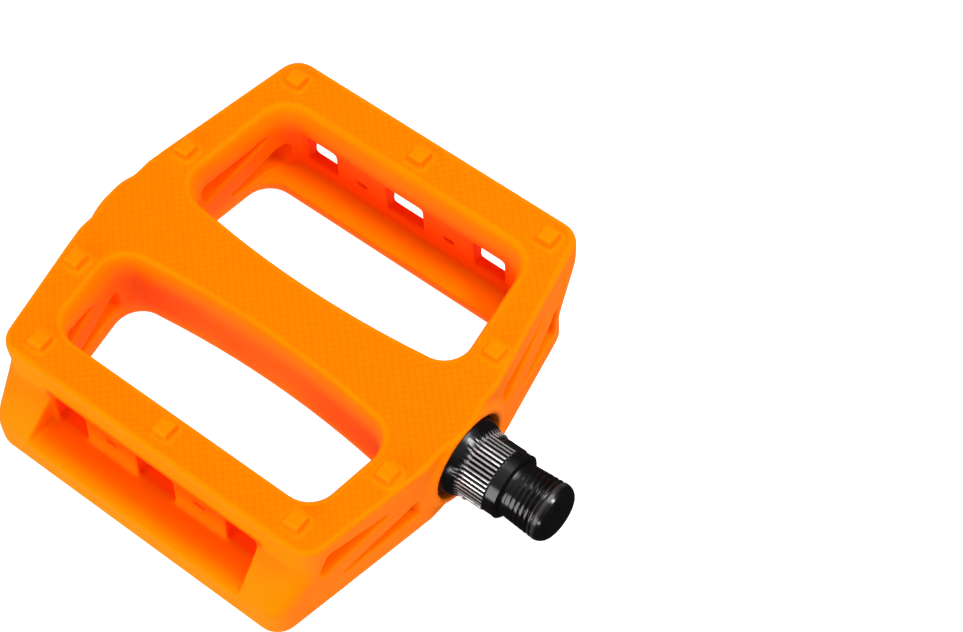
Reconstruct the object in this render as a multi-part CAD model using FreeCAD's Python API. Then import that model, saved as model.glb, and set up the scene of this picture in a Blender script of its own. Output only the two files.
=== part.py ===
"""Flat platform pedal: a moulded nylon body turning on a chromoly spindle in two loose-ball bearings.

The model is first laid out about the middle of the platform: +X runs along the spindle towards the
crank, +Y across the platform, +Z up. Each piece is then moved so that the origin is the spindle's
shoulder, where it seats against the crank arm.
"""
import FreeCAD, Part
import math
import os

V = FreeCAD.Vector

# Spindle seat, measured from the middle of the platform. It becomes the origin.
SEAT_X = 65.0

# Platform. Each face is wider on one side of the spindle, and the other face is the same after half
# a turn about the spindle, so the rails lean like the sides of a parallelogram.
FACE_Z = 13.2            # half the thickness at the rails
DISH = 0.8               # how far the middle of each face lies below its rails
DISH_RADIUS = 1500.0
LONG_Y = 55.3            # outer edge of the wide side of a face
SHORT_Y = 45.3           # outer edge of the narrow side of a face
LONG_INNER_Y = 42.2      # inner wall of the wide bar
SHORT_INNER_Y = 34.8     # inner wall of the narrow bar
BAR_Z = 4.6              # the two bars of a rail lie above and below this height
LONG_CORNER_X = 42.1
SHORT_CORNER_X = 44.7
SHOULDER_Y = 12.0        # where the side walls meet the bearing bosses
LONG_SHOULDER_X = 50.9
SHORT_SHOULDER_X = 51.2
CORNER_R = 5.5
SHOULDER_R = 4.0
EDGE_R = 1.3

# Bearing bosses on the spindle line
BOSS_R = 13.1
BOSS_END_X = 52.2
BOSS_EDGE = 0.8
BOSS_FOOT_R = 15.6       # each boss widens to this where it runs into the side wall
BOSS_FOOT_X = 49.6

# Windows between the spindle beam and the rails
BEAM_HALF = 8.45         # half width of the beam at mid length
BEAM_END_Y = 10.6        # its half width where it meets the side walls
WINDOW_NEAR_X = 39.6     # half length of a window beside the beam
WINDOW_SLOPE = 0.14      # how fast the side walls close in towards the rails
WINDOW_R = 6.0
RIM_DEPTH = 8.0          # each window opens out to the face over this depth, as a quarter ellipse
RIM_HEIGHTS = (0.45, 0.7, 0.88, 1.0)
RIM_BEAM = 2.4           # how far it opens out along the beam, the side walls and the two bars
RIM_END = 3.2
RIM_LONG = 2.2
RIM_SHORT = 0.6
LEDGE_Z = (8.5, 10.3)    # underside of the narrow bar, at the web and at its inner wall

# Long pockets outside the rails, with windows through the web between the two bars
POCKET_HALF = 31.3
POCKET_INNER_HALF = 30.2
WEB_TOP_Y = 45.3
WEB_FOOT_Y = 46.0
WEB_WINDOWS = ((-29.4, -20.6), (-5.4, 5.4), (20.6, 29.4))
WEB_WINDOW_TOP = 3.9
SLIT_X = 13.0            # short slits through the ribs between the web windows
SLIT_HALF = 1.6
SLIT_Z = (0.7, 2.0)

# Triangular windows through the side walls, (y, z) on the wide side of the upper face
TRUSS_UPPER = ((15.2, 5.4), (15.2, -0.8), (38.6, 5.9))
TRUSS_LOWER = ((21.8, -5.4), (39.6, -8.1), (42.8, 0.2))
TRUSS_UPPER_R = (0.9, 0.9, 0.35)
TRUSS_LOWER_R = (0.35, 0.9, 0.9)
TRUSS_INNER_X = 34.0

# Moulded traction pins
PIN_BASE = 4.5
PIN_TOP = 3.9
PIN_H = 2.1
PIN_RAIL_X = (-37.0, 0.0, 37.0)
PIN_LONG_Y = 49.2
PIN_SHORT_Y = -39.4
PIN_WALL = (45.3, 18.8)

# Bores of the body
SPINDLE_BORE_R = 7.0
CAP_R = 10.9
CAP_FACE_X = -51.9
CAP_SEAT_X = -47.6
OUT_CUP_R = 9.2
OUT_CUP_X = (-40.5, -33.5)
IN_CUP_R = 10.7
IN_CUP_X = (39.5, 46.5)
MOUTH_R = 10.9
MOUTH_X = 48.3

# Balls: radius, pitch radius and centre of each row
BALLS = 12
RACE_GAP = 0.03
IN_BALL_R = 3.969 / 2
IN_PITCH_R = 7.75
IN_BALL_X = 43.0
OUT_BALL_R = 3.175 / 2
OUT_PITCH_R = 6.4
OUT_BALL_X = -36.5

# Spindle
THREAD_R = 14.288 / 2    # 9/16 inch x 20 per inch crank thread
THREAD_END_X = 77.2
TIP_ROUND = 2.2
SEAT_CHAMFER = 0.3
COLLAR_R = 8.3
COLLAR_SMOOTH_R = 8.0
KNURL_X = (55.8, 62.0)
FLANGE_R = 10.0
FLANGE_X = (48.5, 51.2)
SEAL_LAND_R = 8.6
FLAT_HALF = 7.5          # half of 15 mm across the spanner flats
FLAT_X = (56.6, 64.2)
FLAT_TURN = 33.0
SHAFT_IN_R = 6.2
SHAFT_OUT_R = 5.0
SHAFT_OUT_X = -35.4
TAIL_R = 4.0
TAIL_END_X = -46.9

# Outboard adjusting parts
CONE_X = (-42.2, -35.6)
WASHER_X = (-43.4, -42.2)
WASHER_R = 6.6
KEY_HALF = 1.0
KEY_DEPTH = 0.9
NUT_X = (-46.6, -43.4)
NUT_FLATS = 12.0
NUT_CHAMFER = 0.5

# End cap and inboard seal
CAP_WALL = 1.6
CAP_SKIRT_R = 9.6
CAP_DOME = 0.2
CAP_RING = (7.6, 8.4)    # shallow decorative ring in the cap's face
CAP_RING_DEPTH = 0.2
SEAL_X = (46.6, 48.2)
SEAL_INNER_R = SEAL_LAND_R + 0.05


def half_turn(shape):
    """The same shape after half a turn about the spindle."""
    turned = shape.copy()
    turned.rotate(V(0, 0, 0), V(1, 0, 0), 180)
    return turned


def rounded_edges(points, radii):
    """Edges of a closed outline whose corners are rounded by the given radii."""
    count = len(points)
    starts, ends, arcs = [], [], []
    for i in range(count):
        corner, radius = points[i], radii[i]
        back = (points[i - 1] - corner).normalize()
        ahead = (points[(i + 1) % count] - corner).normalize()
        half = back.getAngle(ahead) / 2
        reach = radius / math.tan(half)
        middle = (back + ahead).normalize() * (radius / math.sin(half) - radius)
        starts.append(corner + back * reach)
        ends.append(corner + ahead * reach)
        arcs.append(corner + middle)
    edges = []
    for i in range(count):
        edges.append(Part.Arc(starts[i], arcs[i], ends[i]).toShape())
        edges.append(Part.LineSegment(ends[i], starts[(i + 1) % count]).toShape())
    return edges


def flat_wire(points, radii, z):
    return Part.Wire(rounded_edges([V(x, y, z) for x, y in points], radii))


def prism(wire, height):
    return Part.Face(wire).extrude(V(0, 0, height))


def ring_of(profile):
    """Solid of revolution about the spindle from (x, radius) points; a third value bulges an arc."""
    edges = []
    count = len(profile)
    for i in range(count):
        start, end = profile[i], profile[(i + 1) % count]
        a, b = V(start[0], start[1], 0), V(end[0], end[1], 0)
        if len(start) > 2:
            edges.append(Part.Arc(a, V(start[2][0], start[2][1], 0), b).toShape())
        else:
            edges.append(Part.LineSegment(a, b).toShape())
    return Part.Face(Part.Wire(edges)).revolve(V(0, 0, 0), V(1, 0, 0), 360)


def rod(radius, x0, x1):
    return Part.makeCylinder(radius, x1 - x0, V(x0, 0, 0), V(1, 0, 0))


def save(shape, name):
    solid = shape.removeSplitter()
    solid = solid.Solids[0] if len(solid.Solids) == 1 else solid
    assert solid.isValid(), name
    solid.translate(V(-SEAT_X, 0, 0))
    solid.exportStep("parts/" + name + ".step")
    print(name, "solids", len(solid.Solids), "volume", round(solid.Volume, 1))


# ---------------------------------------------------------------- body

def face_outline(turned):
    """Outline of the upper face, or of the lower face when turned. Both list corners in step."""
    side = -1 if turned else 1
    long_side = [(LONG_CORNER_X, LONG_Y), (LONG_SHOULDER_X, SHOULDER_Y)]
    short_side = [(SHORT_CORNER_X, SHORT_Y), (SHORT_SHOULDER_X, SHOULDER_Y)]
    plus, minus = (long_side, short_side) if side > 0 else (short_side, long_side)
    points = [
        (plus[0][0], plus[0][1]),
        (-plus[0][0], plus[0][1]),
        (-plus[1][0], plus[1][1]),
        (-minus[1][0], -minus[1][1]),
        (-minus[0][0], -minus[0][1]),
        (minus[0][0], -minus[0][1]),
        (minus[1][0], -minus[1][1]),
        (plus[1][0], plus[1][1]),
    ]
    radii = [CORNER_R, CORNER_R, SHOULDER_R, SHOULDER_R] * 2
    return points, radii


def outer_block():
    points, radii = face_outline(False)
    upper = prism(flat_wire(points, radii, BAR_Z), FACE_Z - BAR_Z)
    rim = [e for e in upper.Edges if min(v.Z for v in e.Vertexes) > FACE_Z - 0.01]
    upper = upper.makeFillet(EDGE_R, rim)
    low_points, low_radii = face_outline(True)
    lean = Part.makeLoft(
        [flat_wire(low_points, low_radii, -BAR_Z), flat_wire(points, radii, BAR_Z)], True, True
    )
    half_boss = [
        (BOSS_FOOT_X, BOSS_FOOT_R),
        (BOSS_END_X - BOSS_EDGE, BOSS_R),
        (BOSS_END_X, BOSS_R - BOSS_EDGE),
    ]
    other_half = [(-x, radius) for x, radius in reversed(half_boss)]
    boss = ring_of([(-BOSS_END_X, 0)] + other_half + half_boss + [(BOSS_END_X, 0)])
    trim = Part.makeBox(2 * LONG_Y, 2 * LONG_Y, 2 * FACE_Z, V(-LONG_Y, -LONG_Y, -FACE_Z))
    return upper.fuse([lean, half_turn(upper), boss.common(trim)])


def rim_share(z):
    """How much of its rim's width a window has opened out by at a height."""
    rise = max(0.0, z - (FACE_Z - RIM_DEPTH)) / RIM_DEPTH
    return 1 - math.sqrt(max(0.0, 1 - rise ** 2))


def window_wire(side, z):
    """A window's outline at a height: straight along the rail and side walls, bowed along the beam."""
    share = rim_share(z)
    beam_y = BEAM_END_Y - RIM_BEAM * share
    near_x = WINDOW_NEAR_X + RIM_END * share
    if side > 0:
        rail = LONG_INNER_Y + RIM_LONG * share
    elif z > LEDGE_Z[0]:
        rail = SHORT_INNER_Y + RIM_SHORT * share
    else:
        rail = LONG_INNER_Y
    far_x = near_x - WINDOW_SLOPE * (rail - beam_y)
    corners = [(-near_x, beam_y), (-far_x, rail), (far_x, rail), (near_x, beam_y)]
    radii = [WINDOW_R + RIM_BEAM * share] * 4
    edges = rounded_edges([V(x, side * y, z) for x, y in corners], radii)
    beam_line = edges.pop()
    a, b = beam_line.Vertexes[0].Point, beam_line.Vertexes[1].Point
    bow = V(0, side * (BEAM_HALF - RIM_BEAM * share), z)
    edges.append(Part.Arc(a, bow, b).toShape())
    return Part.Wire(edges)


def window_tools():
    """Cutters for the upper half of both windows; half a turn gives the lower half."""
    foot = FACE_Z - RIM_DEPTH
    heights = [0.0, foot] + [foot + RIM_DEPTH * part for part in RIM_HEIGHTS]
    tools = []
    for side in (1, -1):
        levels = sorted(heights + (list(LEDGE_Z) if side < 0 else []))
        tools.append(Part.makeLoft([window_wire(side, z) for z in levels], True, True))
        tools.append(prism(window_wire(side, FACE_Z), 1.0))
    return tools


def pocket_tools():
    """Outer pocket and web windows of the rail that leans out towards the lower face (-Y)."""
    outside = LONG_Y + 2
    wires = []
    for half, top_y, foot_y in ((POCKET_HALF, outside, outside), (POCKET_INNER_HALF, WEB_TOP_Y, WEB_FOOT_Y)):
        top = [V(-half, -top_y, BAR_Z), V(half, -top_y, BAR_Z)]
        foot = [V(half, -foot_y, -BAR_Z), V(-half, -foot_y, -BAR_Z)]
        wires.append(Part.makePolygon(top + foot + top[:1]))
    tools = [Part.makeLoft(wires, True, True)]
    for x0, x1 in WEB_WINDOWS:
        height = WEB_WINDOW_TOP + BAR_Z
        tools.append(Part.makeBox(x1 - x0, outside - SHORT_INNER_Y, height, V(x0, -outside, -BAR_Z)))
    for centre in (-SLIT_X, SLIT_X):
        corner = V(centre - SLIT_HALF, -outside, SLIT_Z[0])
        tools.append(Part.makeBox(2 * SLIT_HALF, outside - SHORT_INNER_Y, SLIT_Z[1] - SLIT_Z[0], corner))
    return tools


def truss_tools():
    """Triangular windows through the side walls on the wide side of the upper face."""
    tools = []
    for corners, radii in ((TRUSS_UPPER, TRUSS_UPPER_R), (TRUSS_LOWER, TRUSS_LOWER_R)):
        for side in (1, -1):
            points = [V(side * TRUSS_INNER_X, y, z) for y, z in corners]
            wire = Part.Wire(rounded_edges(points, radii))
            tools.append(Part.Face(wire).extrude(V(side * 30, 0, 0)))
    return tools


def dish_tool():
    centre = V(-80, 0, FACE_Z - DISH + DISH_RADIUS)
    return Part.makeCylinder(DISH_RADIUS, 160, centre, V(1, 0, 0))


def face_height(y):
    """Height of the dished upper face at y."""
    return FACE_Z - DISH + DISH_RADIUS - math.sqrt(DISH_RADIUS ** 2 - y ** 2)


def square(x, y, z, size):
    h = size / 2
    corners = [(x - h, y - h), (x + h, y - h), (x + h, y + h), (x - h, y + h)]
    return Part.makePolygon([V(a, b, z) for a, b in corners + corners[:1]])


def pins():
    places = [(x, PIN_LONG_Y) for x in PIN_RAIL_X] + [(x, PIN_SHORT_Y) for x in PIN_RAIL_X]
    places += [(sx * PIN_WALL[0], sy * PIN_WALL[1]) for sx in (1, -1) for sy in (1, -1)]
    draft = (PIN_BASE - PIN_TOP) / PIN_H
    root = 1.0
    solids = []
    for x, y in places:
        z = face_height(y)
        wires = [square(x, y, z - root, PIN_BASE + draft * root), square(x, y, z + PIN_H, PIN_TOP)]
        solids.append(Part.makeLoft(wires, True, True))
    return solids


def body_bores():
    over = 2.0
    return [
        rod(SPINDLE_BORE_R, -BOSS_END_X - over, BOSS_END_X + over),
        rod(CAP_R, -BOSS_END_X - over, CAP_SEAT_X),
        rod(OUT_CUP_R, -BOSS_END_X, OUT_CUP_X[1]),
        rod(IN_CUP_R, IN_CUP_X[0], BOSS_END_X),
        rod(MOUTH_R, MOUTH_X, BOSS_END_X + over),
    ]


def pedal_body():
    body = outer_block()
    upper = window_tools() + pocket_tools() + truss_tools() + [dish_tool()]
    body = body.cut(upper)
    body = body.cut([half_turn(tool) for tool in upper])
    upper_pins = pins()
    body = body.fuse(upper_pins + [half_turn(pin) for pin in upper_pins])
    return body.cut(body_bores())


# ---------------------------------------------------------------- bearings

def race_arc(x, pitch_r, ball_r, x_side, r_side):
    """Middle point of a quarter-round race, and its radius with running clearance."""
    radius = ball_r + RACE_GAP
    bend = radius / math.sqrt(2)
    return radius, (x + x_side * bend, pitch_r + r_side * bend)


def outboard_cup():
    radius, middle = race_arc(OUT_BALL_X, OUT_PITCH_R, OUT_BALL_R, 1, 1)
    x0, x1 = OUT_CUP_X
    hole = SHAFT_OUT_R + 0.6
    return ring_of([
        (x0, OUT_CUP_R),
        (x1, OUT_CUP_R),
        (x1, hole),
        (OUT_BALL_X + radius, hole),
        (OUT_BALL_X + radius, OUT_PITCH_R, middle),
        (OUT_BALL_X, OUT_PITCH_R + radius),
        (x0, OUT_PITCH_R + radius),
    ])


def inboard_cup():
    radius, middle = race_arc(IN_BALL_X, IN_PITCH_R, IN_BALL_R, -1, 1)
    x0, x1 = IN_CUP_X
    hole = SPINDLE_BORE_R
    return ring_of([
        (x0, IN_CUP_R),
        (x1, IN_CUP_R),
        (x1, IN_PITCH_R + radius),
        (IN_BALL_X, IN_PITCH_R + radius, middle),
        (IN_BALL_X - radius, IN_PITCH_R),
        (IN_BALL_X - radius, hole),
        (x0, hole),
    ])


def outboard_cone():
    radius, middle = race_arc(OUT_BALL_X, OUT_PITCH_R, OUT_BALL_R, -1, -1)
    x0, x1 = CONE_X
    return ring_of([
        (x0, TAIL_R),
        (x0, OUT_PITCH_R),
        (OUT_BALL_X - radius, OUT_PITCH_R, middle),
        (OUT_BALL_X, OUT_PITCH_R - radius),
        (x1, OUT_PITCH_R - radius),
        (x1, TAIL_R),
    ])


def balls(x, pitch_r, ball_r):
    solids = []
    for i in range(BALLS):
        turn = math.tau * i / BALLS
        centre = V(x, pitch_r * math.cos(turn), pitch_r * math.sin(turn))
        solids.append(Part.makeSphere(ball_r, centre, V(1, 0, 0)))
    return solids


# ---------------------------------------------------------------- spindle and small parts

def spindle():
    radius, middle = race_arc(IN_BALL_X, IN_PITCH_R, IN_BALL_R, 1, -1)
    race_r = IN_PITCH_R - radius
    tip_bend = TIP_ROUND * (1 - 1 / math.sqrt(2))
    tip_mid = (THREAD_END_X - tip_bend, THREAD_R - tip_bend)
    turned = ring_of([
        (TAIL_END_X, 0),
        (TAIL_END_X, TAIL_R - 0.6),
        (TAIL_END_X + 0.6, TAIL_R),
        (SHAFT_OUT_X, TAIL_R),
        (SHAFT_OUT_X, SHAFT_OUT_R),
        (SHAFT_OUT_X + 12, SHAFT_OUT_R),
        (IN_CUP_X[0] - 8, SHAFT_IN_R),
        (IN_CUP_X[0] - 1, SHAFT_IN_R),
        (IN_CUP_X[0] + 0.5, race_r),
        (IN_BALL_X, race_r, middle),
        (IN_BALL_X + radius, IN_PITCH_R),
        (IN_BALL_X + radius, SEAL_LAND_R - 0.3),
        (IN_BALL_X + radius + 0.3, SEAL_LAND_R),
        (FLANGE_X[0], SEAL_LAND_R),
        (FLANGE_X[0], FLANGE_R),
        (FLANGE_X[1], FLANGE_R, (KNURL_X[0] - 2.9, FLANGE_R - 0.9)),
        (KNURL_X[0], COLLAR_SMOOTH_R),
        (KNURL_X[0], COLLAR_R),
        (KNURL_X[1], COLLAR_R),
        (KNURL_X[1], COLLAR_SMOOTH_R),
        (SEAT_X - SEAT_CHAMFER, COLLAR_SMOOTH_R),
        (SEAT_X, COLLAR_SMOOTH_R - SEAT_CHAMFER),
        (SEAT_X, THREAD_R),
        (THREAD_END_X - TIP_ROUND, THREAD_R, tip_mid),
        (THREAD_END_X, THREAD_R - TIP_ROUND),
        (THREAD_END_X, 0),
    ])
    cutters = []
    for side in (0, 180):
        box = Part.makeBox(FLAT_X[1] - FLAT_X[0], 6, 24, V(FLAT_X[0], FLAT_HALF, -12))
        box.rotate(V(0, 0, 0), V(1, 0, 0), FLAT_TURN + side)
        cutters.append(box)
    keyway = Part.makeBox(
        NUT_X[1] - TAIL_END_X + 2.6, 2 * KEY_HALF, 3, V(TAIL_END_X - 1, -KEY_HALF, TAIL_R - KEY_DEPTH)
    )
    return turned.cut(cutters + [keyway])


def key_washer():
    x0, x1 = WASHER_X
    disc = rod(WASHER_R, x0, x1).cut(rod(TAIL_R, x0 - 1, x1 + 1))
    gap = 0.1
    height = KEY_DEPTH - gap + 0.6
    key = Part.makeBox(x1 - x0, 2 * (KEY_HALF - gap), height, V(x0, gap - KEY_HALF, TAIL_R - KEY_DEPTH + gap))
    return disc.fuse(key)


def lock_nut():
    x0, x1 = NUT_X
    corner_r = NUT_FLATS / math.sqrt(3)
    corners = []
    for i in range(7):
        turn = math.tau * i / 6
        corners.append(V(x0, corner_r * math.cos(turn), corner_r * math.sin(turn)))
    hexagon = Part.Face(Part.makePolygon(corners)).extrude(V(x1 - x0, 0, 0))
    cone_r = NUT_FLATS / 2 + 0.2
    bound = ring_of([
        (x0, 0),
        (x0, cone_r),
        (x0 + NUT_CHAMFER, corner_r + 0.1),
        (x1 - NUT_CHAMFER, corner_r + 0.1),
        (x1, cone_r),
        (x1, 0),
    ])
    return hexagon.common(bound).cut(rod(TAIL_R, x0 - 1, x1 + 1))


def end_cap():
    inside = CAP_FACE_X + CAP_WALL
    cap = ring_of([
        (CAP_FACE_X - CAP_DOME, 0, (CAP_FACE_X - CAP_DOME * 0.7, CAP_R / 2)),
        (CAP_FACE_X, CAP_R - 0.6),
        (CAP_FACE_X + 0.3, CAP_R),
        (CAP_SEAT_X, CAP_R),
        (CAP_SEAT_X, CAP_SKIRT_R),
        (inside, CAP_SKIRT_R),
        (inside, 0),
    ])
    groove = rod(CAP_RING[1], CAP_FACE_X - 1, CAP_FACE_X + CAP_RING_DEPTH)
    groove = groove.cut(rod(CAP_RING[0], CAP_FACE_X - 2, CAP_FACE_X + 2))
    return cap.cut(groove)


def inboard_seal():
    x0, x1 = SEAL_X
    lip = 0.4
    return ring_of([
        (x0, IN_CUP_R),
        (x1, IN_CUP_R),
        (x1, SEAL_INNER_R + lip),
        (x1 - lip, SEAL_INNER_R),
        (x0 + lip, SEAL_INNER_R),
        (x0, SEAL_INNER_R + lip),
    ])


os.makedirs("parts", exist_ok=True)
save(pedal_body(), "pedal_body")
save(spindle(), "spindle")
save(inboard_cup(), "inboard_cup")
save(inboard_seal(), "inboard_seal")
save(outboard_cup(), "outboard_cup")
save(outboard_cone(), "outboard_cone")
save(key_washer(), "key_washer")
save(lock_nut(), "lock_nut")
save(end_cap(), "end_cap")
for number, ball in enumerate(balls(IN_BALL_X, IN_PITCH_R, IN_BALL_R), 1):
    save(ball, f"inboard_ball_{number:02d}")
for number, ball in enumerate(balls(OUT_BALL_X, OUT_PITCH_R, OUT_BALL_R), 1):
    save(ball, f"outboard_ball_{number:02d}")
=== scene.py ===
import math

import bpy
import numpy as np
from mathutils import Matrix, Vector


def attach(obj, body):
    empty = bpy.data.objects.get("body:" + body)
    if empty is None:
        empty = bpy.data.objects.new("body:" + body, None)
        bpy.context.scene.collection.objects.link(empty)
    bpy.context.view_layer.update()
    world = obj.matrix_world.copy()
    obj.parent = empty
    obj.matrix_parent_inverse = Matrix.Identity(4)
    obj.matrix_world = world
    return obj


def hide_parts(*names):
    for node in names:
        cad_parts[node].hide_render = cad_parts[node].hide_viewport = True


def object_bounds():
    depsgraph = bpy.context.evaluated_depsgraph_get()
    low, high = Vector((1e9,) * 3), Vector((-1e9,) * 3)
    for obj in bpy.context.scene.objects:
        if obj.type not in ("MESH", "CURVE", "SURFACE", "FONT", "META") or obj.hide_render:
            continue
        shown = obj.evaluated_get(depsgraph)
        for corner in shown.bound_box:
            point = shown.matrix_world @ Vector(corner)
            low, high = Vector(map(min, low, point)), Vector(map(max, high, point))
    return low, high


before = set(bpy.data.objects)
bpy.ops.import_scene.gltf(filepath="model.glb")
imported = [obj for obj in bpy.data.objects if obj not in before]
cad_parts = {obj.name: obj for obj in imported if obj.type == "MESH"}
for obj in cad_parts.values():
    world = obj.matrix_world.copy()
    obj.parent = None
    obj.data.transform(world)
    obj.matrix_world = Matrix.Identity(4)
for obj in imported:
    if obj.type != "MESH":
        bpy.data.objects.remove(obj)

# The part's middle and seat, in metres. The seat is the origin; the middle of the platform is MID_X.
MM = 0.001
MID_X = -65.0 * MM
CAD_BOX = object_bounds()

# Camera: it looks down on the crank end and the narrow bar of the upper face.
CAMERA_POS = (0.1511, -0.1843, 0.4691)
CAMERA_RIGHT = (0.7906, 0.6116, -0.0304)
CAMERA_DOWN = (0.5120, -0.6874, -0.5151)
CAMERA_AHEAD = (-0.3359, 0.3917, -0.8566)
CAMERA_LENS = 89.91
SENSOR = 36.0

# Body mesh, in mm from the middle of the platform. SOFTEN values are rounds of smoothing.
VOXEL = 0.32
SOFTEN_ALL = 2
SOFTEN_FACES = 11
SOFTEN_CORNERS = 60
PIN_FOOT_Z = 13.35
PIN_FOOT_FADE = 0.25
CORNER_X = (30.0, 37.0)
CORNER_Y = (38.0, 44.0)
CORNER_Z = (6.0, 9.5)

# Where painted shade deepens the body's colour inside the windows and pockets. Each pair is a distance from
# the middle where it starts and is full.
WINDOW_INNER_Y = (8.0, 9.5)
WINDOW_OUTER_Y = (45.0, 44.0)
WINDOW_END_X = (44.0, 43.0)
WINDOW_END_SLOPE = 0.14
WINDOW_Z = (8.5, 4.5)
POCKET_INNER_Y = (44.0, 45.0)
POCKET_OUTER_Y = (54.0, 51.0)
POCKET_END_X = (30.2, 29.0)
POCKET_Z = (5.2, 4.6)
WEB_INNER_Y = (41.4, 42.4)
WEB_OUTER_Y = (46.2, 45.4)
WEB_END_X = (32.0, 31.2)
WEB_Z = (7.0, 5.0)
MASK_ROUNDS = 6

# Moulded tread: two families of fine ridges, each at 45 degrees to the spindle
TREAD_PITCH = 1.56
TREAD_DEPTH = 0.05
TREAD_Z = (11.9, 13.3)
TREAD_LEVEL = 0.985
TREAD_EDGE = (0.55, 0.95)

# Spindle, in mm from the middle of the platform
SEAT_X = 65.0
FINE_FROM = 55.0
FINE_SPACING = 0.09
SHARP_ANGLE = math.radians(38.0)
THREAD_PITCH = 1.27
THREAD_R = 7.14
THREAD_DEPTH = 0.62
THREAD_GROOVE = 0.42
THREAD_START = (0.3, 0.9)
THREAD_FADE = 1.5
THREAD_END = 77.2
TIP_ROUND = 2.9
TIP_STEPS = 6
KNURL_START = 55.1
KNURL_END = 62.0
KNURL_R = 8.45
KNURL_DEPTH = 0.45
KNURL_FADE = 0.35
KNURL_STEEPNESS = 1.3
KNURL_TEETH = 48
STEPS_PER_TOOTH = 8
KNURL_BARE = (0.14, 0.01)
THREAD_BARE = (0.12, 0.02)
THREAD_BARE_SHARE = 0.05
FLAT_HALF = 7.5
FLAT_TURN = math.radians(33.0)
FLAT_SPAN = (56.6, 64.2)

# Lights: each one's way from the middle of the platform, its size in metres and its power in watts
LIGHT_DISTANCE = 0.8
LIGHTS = {
    "top": ((0.12, 0.3, 0.95), 0.5, 5.0),
    "key": ((0.53, 0.25, 0.81), 0.16, 3.0),
    "glint": ((0.44, -0.89, 0.12), 0.1, 0.8),
    "front": ((-0.25, -0.95, 0.16), 0.6, 7.6),
}
SKY_GLOW = 0.9
HORIZON_GLOW = 0.02
FLOOR_SHADE = 0.3
FLOOR_GLOW = 1.0
FLOOR_HALF = 3.0
FLOOR_GAP = 0.2 * MM


# ---------------------------------------------------------------- node helpers

def new_material(name):
    mat = bpy.data.materials.new(name)
    mat.use_nodes = True
    tree = mat.node_tree
    return mat, tree, tree.nodes["Principled BSDF"]


def link(tree, a, b):
    tree.links.new(a, b)


def math_node(tree, operation, a, b=None):
    node = tree.nodes.new("ShaderNodeMath")
    node.operation = operation
    for socket, value in zip(node.inputs, (a, b)):
        if value is None:
            continue
        if isinstance(value, (int, float)):
            socket.default_value = value
        else:
            link(tree, value, socket)
    return node.outputs[0]


def remap(tree, value, low, high, out_low=0.0, out_high=1.0):
    node = tree.nodes.new("ShaderNodeMapRange")
    node.inputs["From Min"].default_value = low
    node.inputs["From Max"].default_value = high
    node.inputs["To Min"].default_value = out_low
    node.inputs["To Max"].default_value = out_high
    link(tree, value, node.inputs["Value"])
    return node.outputs["Result"]


def noise(tree, vector, scale, detail=3.0, rough=0.55):
    node = tree.nodes.new("ShaderNodeTexNoise")
    node.inputs["Scale"].default_value = scale
    node.inputs["Detail"].default_value = detail
    node.inputs["Roughness"].default_value = rough
    link(tree, vector, node.inputs["Vector"])
    return node.outputs["Fac"]


def object_coords(tree):
    return tree.nodes.new("ShaderNodeTexCoord").outputs["Object"]


def mesh_value(tree, name):
    """A value that the mesh carries at each vertex."""
    node = tree.nodes.new("ShaderNodeAttribute")
    node.attribute_name = name
    return node.outputs["Fac"]


def mix_colour(tree, factor, a, b):
    node = tree.nodes.new("ShaderNodeMix")
    node.data_type = "RGBA"
    link(tree, factor, node.inputs["Factor"])
    for socket, value in ((node.inputs["A"], a), (node.inputs["B"], b)):
        if isinstance(value, tuple):
            socket.default_value = value
        else:
            link(tree, value, socket)
    return node.outputs["Result"]


def bump(tree, height, distance, strength, normal=None):
    node = tree.nodes.new("ShaderNodeBump")
    node.inputs["Strength"].default_value = strength
    node.inputs["Distance"].default_value = distance
    link(tree, height, node.inputs["Height"])
    if normal is not None:
        link(tree, normal, node.inputs["Normal"])
    return node.outputs["Normal"]


def convexity(tree):
    """About 0.5 on flat ground, higher on raised edges and lower in creases."""
    node = tree.nodes.new("ShaderNodeNewGeometry")
    return node.outputs["Pointiness"]


# ---------------------------------------------------------------- materials

def tread_height(tree, place):
    """1 on the tops of the tread's diamonds and 0 along its grooves."""
    split = tree.nodes.new("ShaderNodeSeparateXYZ")
    link(tree, place, split.inputs[0])
    x, y, z = split.outputs
    turns = math.pi / (TREAD_PITCH * math.sqrt(2) * MM)
    ridges = []
    for operation in ("ADD", "SUBTRACT"):
        across = math_node(tree, operation, math_node(tree, "ADD", x, -MID_X), y)
        wave = math_node(tree, "COSINE", math_node(tree, "MULTIPLY", across, turns))
        ridges.append(math_node(tree, "ABSOLUTE", wave))
    lowest = math_node(tree, "MINIMUM", *ridges)
    return remap(tree, lowest, 0.0, 0.75)


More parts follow.
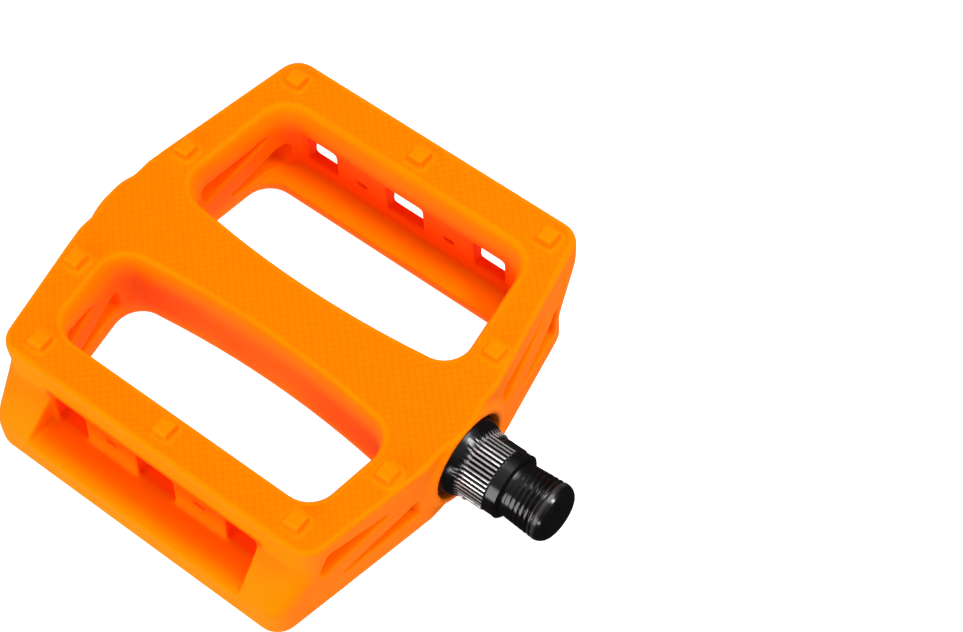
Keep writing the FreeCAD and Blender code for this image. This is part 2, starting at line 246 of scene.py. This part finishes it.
def orange_nylon():
    mat, tree, shader = new_material("body_nylon")
    place = object_coords(tree)
    treaded = mesh_value(tree, "tread")
    diamonds = tread_height(tree, place)
    grain = noise(tree, place, 1500.0, 4.0)
    flow = noise(tree, place, 60.0, 3.0)
    sheen = noise(tree, place, 300.0, 2.0)
    # The smooth parts get a painted highlight, a shade lighter than the tread, and the tread's grooves get
    # painted shade, deeper in colour.
    smooth = mix_colour(tree, remap(tree, flow, 0.35, 0.65), (0.98, 0.170, 0.0, 1), (0.98, 0.182, 0.0, 1))
    tops = mix_colour(tree, remap(tree, sheen, 0.3, 0.7), (0.98, 0.152, 0.0, 1), (0.98, 0.160, 0.0, 1))
    grooved = mix_colour(tree, diamonds, (0.96, 0.134, 0.0, 1), tops)
    outside = mix_colour(tree, treaded, smooth, grooved)
    # The walls inside the windows and pockets get painted shade: a deeper, redder colour.
    face = mix_colour(tree, mesh_value(tree, "painted_recess_shade"), outside, (0.99, 0.062, 0.0, 1))
    # Raised edges get a painted highlight: a paler orange.
    raised = remap(tree, convexity(tree), 0.51, 0.60, 0.0, 0.7)
    edge_highlight_and_bare_crest = mix_colour(tree, raised, face, (0.98, 0.215, 0.001, 1))
    # Creases get painted shade: a deeper red.
    crease = remap(tree, convexity(tree), 0.48, 0.42)
    link(tree, mix_colour(tree, crease, edge_highlight_and_bare_crest, (0.97, 0.10, 0.0, 1)), shader.inputs["Base Color"])
    smooth_rough = remap(tree, sheen, 0.3, 0.7, 0.38, 0.48)
    rough = math_node(tree, "ADD", smooth_rough, math_node(tree, "MULTIPLY", treaded, 0.1))
    link(tree, rough, shader.inputs["Roughness"])
    fine = bump(tree, grain, 0.04 * MM, 0.3)
    cut = math_node(tree, "MULTIPLY", diamonds, treaded)
    link(tree, bump(tree, cut, 0.05 * MM, 0.5, fine), shader.inputs["Normal"])
    shader.inputs["Specular IOR Level"].default_value = 0.04
    shader.inputs["Specular Tint"].default_value = (1.0, 0.4, 0.05, 1)
    shader.inputs["Subsurface Weight"].default_value = 0.15
    shader.inputs["Subsurface Radius"].default_value = (0.6, 0.15, 0.03)
    shader.inputs["Subsurface Scale"].default_value = 1.2 * MM
    return mat


def black_steel():
    mat, tree, shader = new_material("spindle_black_steel")
    place = object_coords(tree)
    streak_space = tree.nodes.new("ShaderNodeMapping")
    streak_space.inputs["Scale"].default_value = (1.0, 12.0, 12.0)
    link(tree, place, streak_space.inputs["Vector"])
    streaks = noise(tree, streak_space.outputs["Vector"], 120.0, 4.0)
    mottle = noise(tree, place, 420.0, 3.0)
    # The crests of the knurl, and faintly those of the thread, are pale bare steel.
    edge_highlight_and_bare_crest = math_node(tree, "MULTIPLY", mesh_value(tree, "crest"), remap(tree, mottle, 0.35, 0.6, 0.45, 1.0))
    colour = mix_colour(tree, edge_highlight_and_bare_crest, (0.004, 0.0035, 0.004, 1), (0.62, 0.60, 0.60, 1))
    link(tree, colour, shader.inputs["Base Color"])
    link(tree, math_node(tree, "MULTIPLY", edge_highlight_and_bare_crest, 0.85), shader.inputs["Metallic"])
    link(tree, remap(tree, streaks, 0.3, 0.7, 0.15, 0.25), shader.inputs["Roughness"])
    link(tree, bump(tree, streaks, 0.015 * MM, 0.25), shader.inputs["Normal"])
    shader.inputs["Specular IOR Level"].default_value = 0.3
    return mat


def bright_steel(name, colour, low, high):
    mat, tree, shader = new_material(name)
    place = object_coords(tree)
    brushed = tree.nodes.new("ShaderNodeMapping")
    brushed.inputs["Scale"].default_value = (14.0, 1.0, 1.0)
    link(tree, place, brushed.inputs["Vector"])
    lines = noise(tree, brushed.outputs["Vector"], 300.0, 3.0)
    tint = mix_colour(tree, lines, tuple(c * 0.85 for c in colour) + (1,), colour + (1,))
    link(tree, tint, shader.inputs["Base Color"])
    link(tree, remap(tree, lines, 0.3, 0.7, low, high), shader.inputs["Roughness"])
    link(tree, bump(tree, lines, 0.01 * MM, 0.2), shader.inputs["Normal"])
    shader.inputs["Metallic"].default_value = 1.0
    return mat


def seal_rubber():
    mat, tree, shader = new_material("seal_rubber")
    place = object_coords(tree)
    grain = noise(tree, place, 900.0, 4.0)
    dust = noise(tree, place, 160.0, 3.0)
    colour = mix_colour(tree, dust, (0.016, 0.016, 0.017, 1), (0.034, 0.032, 0.030, 1))
    link(tree, colour, shader.inputs["Base Color"])
    link(tree, remap(tree, grain, 0.3, 0.7, 0.55, 0.75), shader.inputs["Roughness"])
    link(tree, bump(tree, grain, 0.03 * MM, 0.4), shader.inputs["Normal"])
    return mat


def cap_plastic():
    mat, tree, shader = new_material("cap_plastic")
    place = object_coords(tree)
    swirl = noise(tree, place, 140.0, 3.0)
    scuff = noise(tree, place, 700.0, 4.0)
    colour = mix_colour(tree, swirl, (0.018, 0.004, 0.006, 1), (0.034, 0.006, 0.009, 1))
    link(tree, colour, shader.inputs["Base Color"])
    link(tree, remap(tree, scuff, 0.3, 0.7, 0.12, 0.22), shader.inputs["Roughness"])
    link(tree, bump(tree, scuff, 0.01 * MM, 0.2), shader.inputs["Normal"])
    shader.inputs["Coat Weight"].default_value = 0.4
    shader.inputs["Coat Roughness"].default_value = 0.06
    return mat


# ---------------------------------------------------------------- body

def shade_smooth(mesh):
    mesh.polygons.foreach_set("use_smooth", np.ones(len(mesh.polygons), dtype=bool))
    mesh.update()


def read(items, name, width, kind=np.float64):
    values = np.empty(len(items) * width, dtype=kind)
    items.foreach_get(name, values)
    return values.reshape(-1, width)


def step(values, low, high):
    """0 up to low, 1 from high on, and straight between. With high below low it falls instead."""
    return np.clip((values - low) / (high - low), 0.0, 1.0)


def relax(values, edges, weight, steps):
    """Each vertex's values move towards the mean of its neighbours' by its weight."""
    count = len(values)
    a, b = edges.T
    degree = np.bincount(edges.ravel(), minlength=count)
    for _ in range(steps):
        for k in range(values.shape[1]):
            column = values[:, k]
            total = np.bincount(a, column[b], count) + np.bincount(b, column[a], count)
            values[:, k] = column + weight * (total / degree - column)
    return values


def even_mesh(node, name):
    """A new object with the node's shape in small, even faces."""
    body = bpy.data.objects.new(name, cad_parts[node].data.copy())
    bpy.context.collection.objects.link(body)
    remesh = body.modifiers.new("even", "REMESH")
    remesh.mode = "VOXEL"
    remesh.voxel_size = VOXEL * MM
    graph = bpy.context.evaluated_depsgraph_get()
    result = bpy.data.meshes.new_from_object(body.evaluated_get(graph))
    body.modifiers.clear()
    body.data = result
    result.materials.clear()
    return body


def soften(points, edges):
    """Rounds every edge as a mould does: lightly on the pins, more on the corners between the faces."""
    x, y, z = np.abs(points).T
    faces = 1.0 - step(z, PIN_FOOT_Z - PIN_FOOT_FADE, PIN_FOOT_Z)
    corners = step(x, *CORNER_X) * step(y, *CORNER_Y) * (1.0 - step(z, *CORNER_Z))
    relax(points, edges, 0.5, SOFTEN_ALL)
    relax(points, edges, 0.5 * faces, SOFTEN_FACES)
    relax(points, edges, 0.5 * corners, SOFTEN_CORNERS)


def tread_mask(points, edges, normals):
    """1 on the flat of both faces, fading out before each rounded edge and pin."""
    z = np.abs(points[:, 2])
    flat = (np.abs(normals[:, 2]) > TREAD_LEVEL) & (z > TREAD_Z[0]) & (z < TREAD_Z[1])
    mask = relax(flat.astype(np.float64)[:, None], edges, 0.5, MASK_ROUNDS)
    return step(mask[:, 0], *TREAD_EDGE)


def tread_cut(points):
    """How deep each point of a face is cut by the tread."""
    across = (points[:, 0] + points[:, 1]) * math.pi * math.sqrt(2) / TREAD_PITCH
    along = (points[:, 0] - points[:, 1]) * math.pi * math.sqrt(2) / TREAD_PITCH
    return TREAD_DEPTH * (0.5 - 0.25 * (np.cos(across) + np.cos(along)))


def painted_recess_shade_mask(points, edges):
    """Painted shade: 0 outside, half inside the windows and the rails' pockets, and 1 on the webs between
    them.
    """
    x, y, z = np.abs(points).T
    along = x + WINDOW_END_SLOPE * y
    window = step(y, *WINDOW_INNER_Y) * step(y, *WINDOW_OUTER_Y)
    window *= step(along, *WINDOW_END_X) * step(z, *WINDOW_Z)
    pocket = step(y, *POCKET_INNER_Y) * step(y, *POCKET_OUTER_Y)
    pocket *= step(x, *POCKET_END_X) * step(z, *POCKET_Z)
    web = step(y, *WEB_INNER_Y) * step(y, *WEB_OUTER_Y)
    web *= step(x, *WEB_END_X) * step(z, *WEB_Z)
    depth = np.maximum(0.5 * np.maximum(window, pocket), web)
    return relax(depth[:, None], edges, 0.5, MASK_ROUNDS)[:, 0]


def make_body():
    body = even_mesh("pedal_body", "platform_moulding")
    mesh = body.data
    shift = np.array((MID_X / MM, 0.0, 0.0))
    points = read(mesh.vertices, "co", 3) / MM - shift
    edges = read(mesh.edges, "vertices", 2, np.int32)
    soften(points, edges)
    mesh.vertices.foreach_set("co", ((points + shift) * MM).ravel())
    mesh.update()
    # Painted shade for the walls inside the windows, pockets and webs.
    painted_recess_shade = painted_recess_shade_mask(points, edges)
    mask = tread_mask(points, edges, read(mesh.vertex_normals, "vector", 3))
    points[:, 2] -= np.sign(points[:, 2]) * tread_cut(points) * mask
    mesh.vertices.foreach_set("co", ((points + shift) * MM).ravel())
    mesh.attributes.new("tread", "FLOAT", "POINT").data.foreach_set("value", mask)
    mesh.attributes.new("painted_recess_shade", "FLOAT", "POINT").data.foreach_set("value", painted_recess_shade)
    shade_smooth(mesh)
    return body


# ---------------------------------------------------------------- spindle

def spindle_outline():
    """(x, radius) of the turned spindle from tail to tip, in mm."""
    tip = []
    for i in range(TIP_STEPS + 1):
        turn = math.pi / 2 * i / TIP_STEPS
        x = THREAD_END - TIP_ROUND * (1 - math.sin(turn))
        tip.append((x, THREAD_R - TIP_ROUND * (1 - math.cos(turn))))
    return [
        (-46.9, 3.4), (-46.3, 4.0), (-35.4, 4.0), (-35.4, 5.0), (-23.4, 5.0), (31.5, 6.2), (38.5, 6.2),
        (40.0, 5.735), (43.0, 5.735), (43.8, 5.92), (44.42, 6.34), (44.84, 6.96), (45.0, 7.6), (45.0, 8.3),
        (45.3, 8.6), (48.5, 8.6), (48.5, 9.8), (48.7, 10.0), (51.0, 10.0), (51.9, 9.85), (53.0, 9.35),
        (54.2, 8.75), (55.3, 8.3), (55.8, 8.1), (62.0, 8.0), (64.6, 8.0), (65.0, 7.6), (65.0, 6.7),
        (65.5, 6.55),
    ] + tip


def sample_outline(points):
    """The outline with extra points where the knurl and thread need them."""
    out = []
    for (x0, r0), (x1, r1) in zip(points, points[1:]):
        parts = max(1, math.ceil((x1 - x0) / FINE_SPACING)) if x0 >= FINE_FROM else 1
        out += [(x0 + (x1 - x0) * i / parts, r0 + (r1 - r0) * i / parts) for i in range(parts)]
    return out + [points[-1]]


def knurl_radius(x, turn, radius):
    inside = min(1.0, max(0.0, min(x - KNURL_START, KNURL_END - x) / KNURL_FADE))
    tooth = abs((turn / math.tau * KNURL_TEETH) % 1.0 - 0.5) * 2
    crest = min(1.0, tooth * KNURL_STEEPNESS)
    return radius + inside * (KNURL_R - radius - KNURL_DEPTH * (1 - crest))


def thread_radius(x, turn, radius):
    beyond = x - SEAT_X
    start, full = THREAD_START
    fade = min(1.0, max(0.0, (beyond - start) / (full - start)))
    fade = min(fade, max(0.0, (THREAD_END - TIP_ROUND - x) / THREAD_FADE))
    phase = (beyond / THREAD_PITCH - turn / math.tau) % 1.0
    groove = 1.0 - min(1.0, abs(phase - 0.5) / THREAD_GROOVE)
    return min(radius, THREAD_R - fade * THREAD_DEPTH * groove)


def flat_radius(x, turn, radius):
    if not FLAT_SPAN[0] <= x <= FLAT_SPAN[1]:
        return radius
    reach = abs(math.cos(turn - FLAT_TURN))
    return min(radius, FLAT_HALF / reach) if reach > 0.2 else radius


def surface_radius(x, turn, radius):
    if KNURL_START <= x <= KNURL_END:
        radius = knurl_radius(x, turn, radius)
    if x > SEAT_X + 0.2:
        radius = thread_radius(x, turn, radius)
    return flat_radius(x, turn, radius)


def bare_crest(x, radius):
    """1 on the crests of the knurl, less on those of the thread, and 0 on smooth steel."""
    if KNURL_START <= x <= KNURL_END:
        return float(step(KNURL_R - radius, *KNURL_BARE))
    if x > SEAT_X + 0.6:
        return THREAD_BARE_SHARE * float(step(THREAD_R - radius, *THREAD_BARE))
    return 0.0


def make_spindle():
    segments = KNURL_TEETH * STEPS_PER_TOOTH
    rows = sample_outline(spindle_outline())
    verts, faces, crests = [], [], []
    for x, radius in rows:
        for k in range(segments):
            turn = math.tau * k / segments
            surface = surface_radius(x, turn, radius)
            crests.append(bare_crest(x, surface))
            r = surface * MM
            verts.append((x * MM + MID_X, r * math.cos(turn), r * math.sin(turn)))
    for i in range(len(rows) - 1):
        for k in range(segments):
            a = i * segments + k
            b = i * segments + (k + 1) % segments
            faces.append((a, a + segments, b + segments, b))
    faces.append(tuple(range(segments)))
    last = (len(rows) - 1) * segments
    faces.append(tuple(last + k for k in reversed(range(segments))))
    mesh = bpy.data.meshes.new("spindle_steel")
    mesh.from_pydata(verts, [], faces)
    mesh.validate()
    mesh.attributes.new("crest", "FLOAT", "POINT").data.foreach_set("value", crests)
    shade_smooth(mesh)
    mesh.set_sharp_from_angle(angle=SHARP_ANGLE)
    obj = bpy.data.objects.new("spindle_steel", mesh)
    bpy.context.collection.objects.link(obj)
    return obj


# ---------------------------------------------------------------- surroundings

def make_floor():
    low = CAD_BOX[0]
    mesh = bpy.data.meshes.new("floor")
    z = low[2] - FLOOR_GAP
    corners = [(x * FLOOR_HALF, y * FLOOR_HALF, z) for x, y in ((-1, -1), (1, -1), (1, 1), (-1, 1))]
    mesh.from_pydata(corners, [], [(0, 1, 2, 3)])
    floor = bpy.data.objects.new("floor", mesh)
    bpy.context.collection.objects.link(floor)
    mat, tree, shader = new_material("pale_floor")
    shader.inputs["Base Color"].default_value = (FLOOR_SHADE, FLOOR_SHADE, FLOOR_SHADE, 1)
    shader.inputs["Roughness"].default_value = 0.9
    shader.inputs["Emission Color"].default_value = (1, 1, 1, 1)
    shader.inputs["Emission Strength"].default_value = FLOOR_GLOW
    # The floor lights the part from below, but glossy surfaces don't mirror it.
    mat.cycles.emission_sampling = "NONE"
    floor.visible_glossy = False
    mesh.materials.append(mat)


def area_light(name, way, size, power):
    middle = Vector((MID_X, 0.0, 0.0))
    data = bpy.data.lights.new(name, "AREA")
    data.shape = "DISK"
    data.size = size
    data.energy = power
    lamp = bpy.data.objects.new(name, data)
    bpy.context.collection.objects.link(lamp)
    lamp.location = middle + Vector(way).normalized() * LIGHT_DISTANCE
    lamp.rotation_euler = Vector(way).to_track_quat("Z", "Y").to_euler()


def make_sky():
    """Soft light that is strongest overhead and fades to nothing at the horizon."""
    world = bpy.data.worlds.new("studio")
    world.use_nodes = True
    tree = world.node_tree
    place = tree.nodes.new("ShaderNodeTexCoord")
    split = tree.nodes.new("ShaderNodeSeparateXYZ")
    link(tree, place.outputs["Generated"], split.inputs[0])
    overhead = remap(tree, split.outputs[2], 0.5, 1.0, HORIZON_GLOW, SKY_GLOW)
    tree.nodes["Background"].inputs["Color"].default_value = (1, 1, 1, 1)
    link(tree, overhead, tree.nodes["Background"].inputs["Strength"])
    bpy.context.scene.world = world


def make_lights():
    for name, (way, size, power) in LIGHTS.items():
        area_light(name, way, size, power)
    make_sky()


def make_camera():
    data = bpy.data.cameras.new("camera")
    data.sensor_width = SENSOR
    data.lens = CAMERA_LENS
    data.clip_start = 0.01
    camera = bpy.data.objects.new("camera", data)
    bpy.context.collection.objects.link(camera)
    up = -Vector(CAMERA_DOWN)
    back = -Vector(CAMERA_AHEAD)
    turn = Matrix((CAMERA_RIGHT, up, back)).transposed()
    camera.matrix_world = Matrix.Translation(CAMERA_POS) @ turn.to_4x4()
    bpy.context.scene.camera = camera


def assign(node, material):
    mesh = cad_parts[node].data
    mesh.materials.clear()
    mesh.materials.append(material)


def main():
    make_camera()
    body = make_body()
    body.data.materials.append(orange_nylon())
    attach(body, "platform")
    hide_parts("pedal_body")
    spindle = make_spindle()
    spindle.data.materials.append(black_steel())
    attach(spindle, "spindle_unit")
    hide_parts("spindle")
    assign("end_cap", cap_plastic())
    assign("inboard_seal", seal_rubber())
    races = bright_steel("race_steel", (0.52, 0.52, 0.54), 0.18, 0.3)
    for node in ("inboard_cup", "outboard_cup", "outboard_cone"):
        assign(node, races)
    plated = bright_steel("plated_steel", (0.62, 0.62, 0.60), 0.3, 0.42)
    for node in ("key_washer", "lock_nut"):
        assign(node, plated)
    polished = bright_steel("ball_steel", (0.75, 0.75, 0.77), 0.04, 0.09)
    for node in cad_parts:
        if "_ball_" in node:
            assign(node, polished)
    make_floor()
    make_lights()
    bpy.context.scene.view_settings.view_transform = "Standard"


main()
